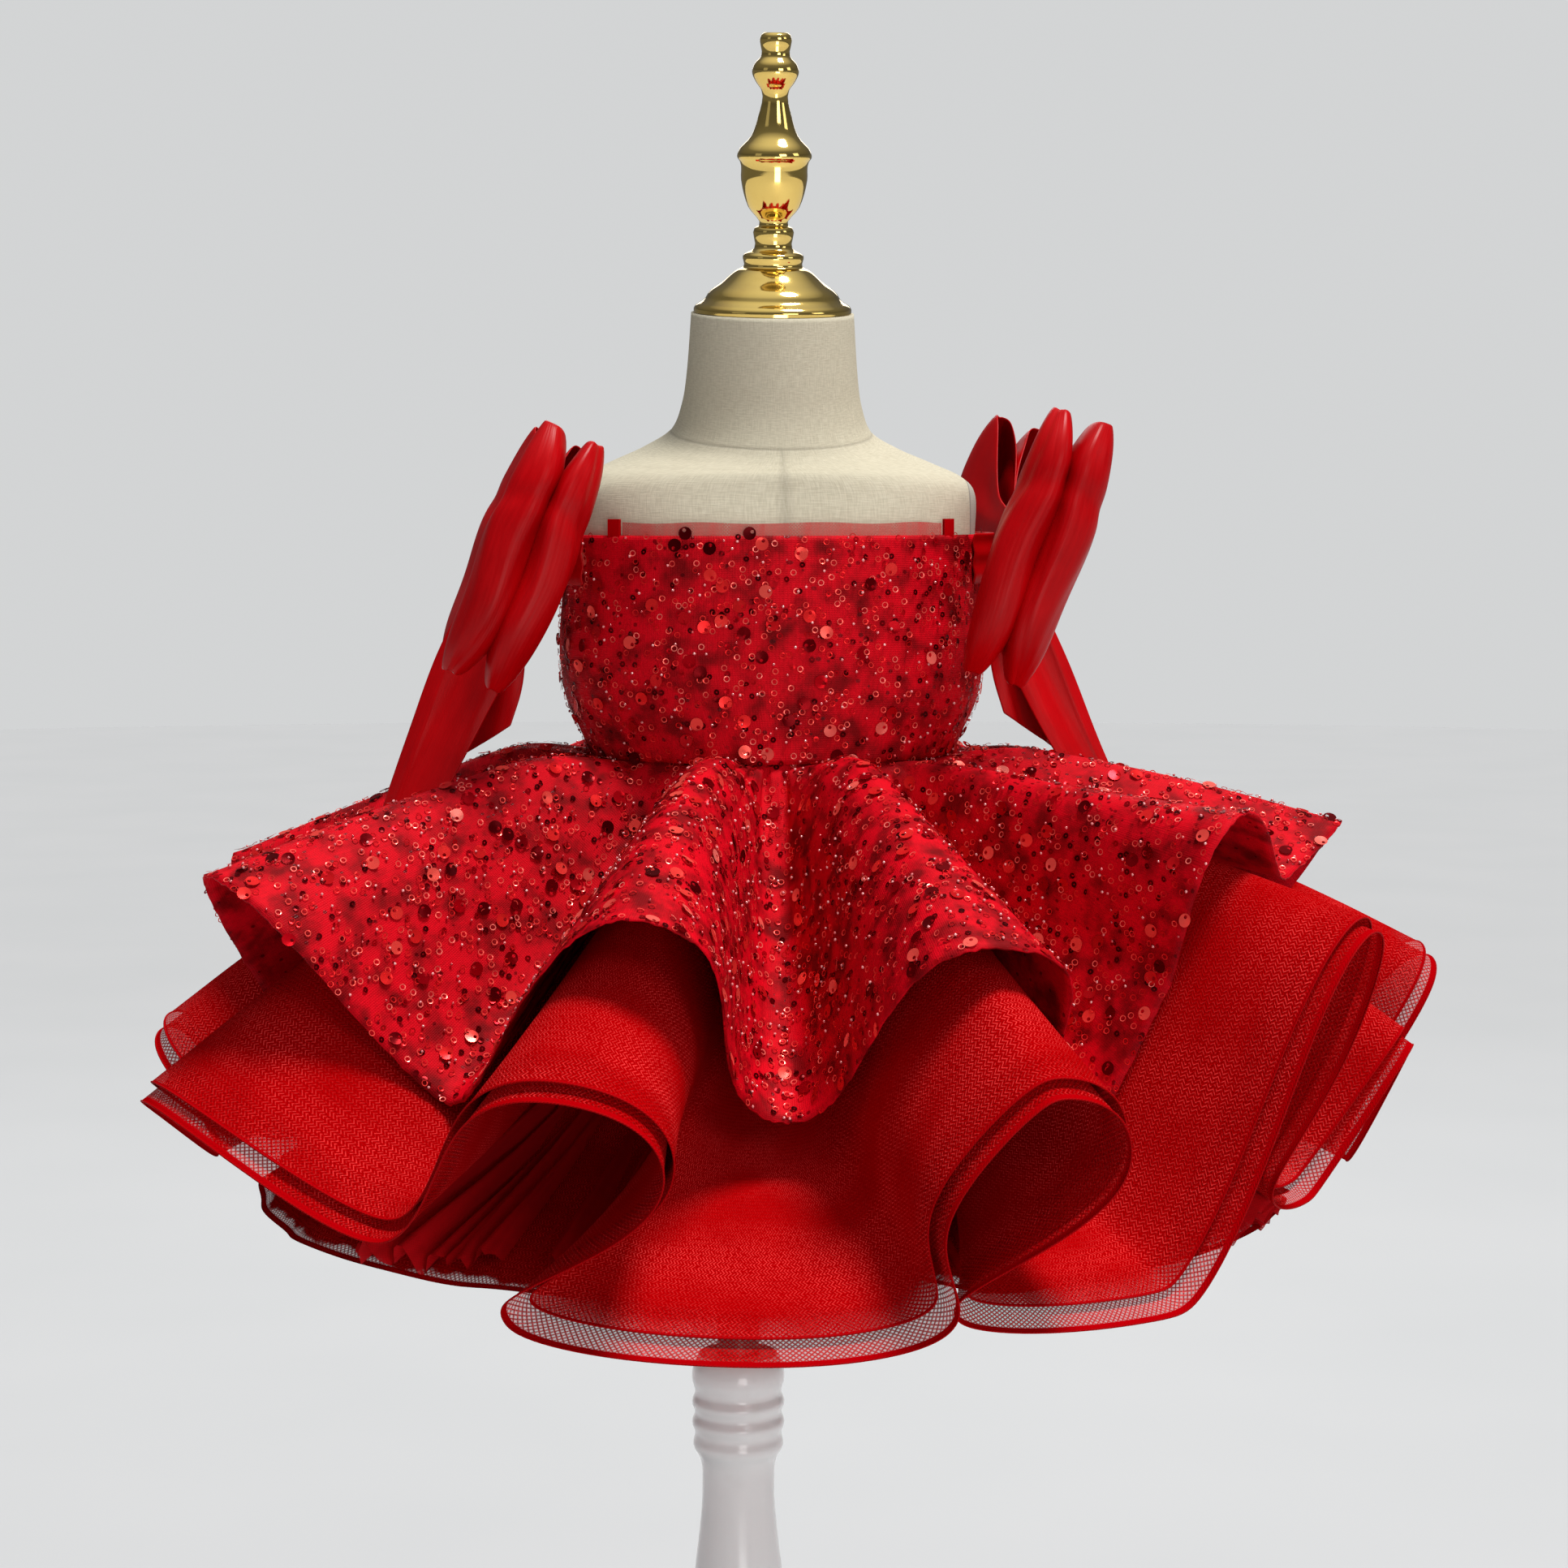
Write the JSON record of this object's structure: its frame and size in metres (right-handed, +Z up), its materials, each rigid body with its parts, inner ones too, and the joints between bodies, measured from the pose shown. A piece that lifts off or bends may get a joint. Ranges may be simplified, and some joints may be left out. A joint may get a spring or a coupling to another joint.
{
  "type": "flower girl dress on dress form",
  "caption": "Strapless sequinned child's dress with shoulder bows, a fluted overskirt, stiff see-through underskirts and a tulle petticoat, worn by a limbless dress form on a turned stand.",
  "frame": {"origin": "centre of the stand's flat underside, on the floor and under the rod", "axes": "+Z up, -Y towards the dress's front, +X towards the wearer's left"},
  "size_m": [0.6687, 0.6598, 1.0177],
  "materials": {
    "sequin_cloth": "red woven cloth covered with red sequins and beads",
    "horsehair": "stiff red horsehair organza, see-through at the hem",
    "tulle": "soft red tulle, gathered",
    "satin": "red satin",
    "facing_net": "pale red stiff net",
    "linen": "natural linen",
    "gilt": "mirror gilt plating",
    "rod_metal": "dark metal rod",
    "white_gloss": "white gloss paint"
  },
  "bodies": {
    "root": {"bodice_front": "sequin_cloth", "bodice_back_left": "sequin_cloth", "bodice_back_right": "sequin_cloth", "overskirt_front": "sequin_cloth", "overskirt_back_left": "sequin_cloth", "overskirt_back_right": "sequin_cloth", "underskirt_upper_front": "horsehair", "underskirt_upper_back": "horsehair", "underskirt_lower_front": "horsehair", "underskirt_lower_back": "horsehair", "petticoat_front": "tulle", "petticoat_back": "tulle", "arm_strap_right": "satin", "arm_strap_left": "satin", "hanger_tab_right": "satin", "hanger_tab_left": "satin", "bow_right_knot": "satin", "bow_right_front_outer": "satin", "bow_right_front_inner": "satin", "bow_right_back_outer": "satin", "bow_right_back_inner": "satin", "bow_right_tail_outer": "satin", "bow_right_tail_inner": "satin", "bow_left_knot": "satin", "bow_left_front_outer": "satin", "bow_left_front_inner": "satin", "bow_left_back_outer": "satin", "bow_left_back_inner": "satin", "bow_left_tail_outer": "satin", "bow_left_tail_inner": "satin", "neck_facing": "facing_net", "form_torso": "linen", "neck_cap": "gilt", "stand_rod": "rod_metal", "stand_post": "white_gloss", "stand_base": "white_gloss"}
  },
  "joints": []
}
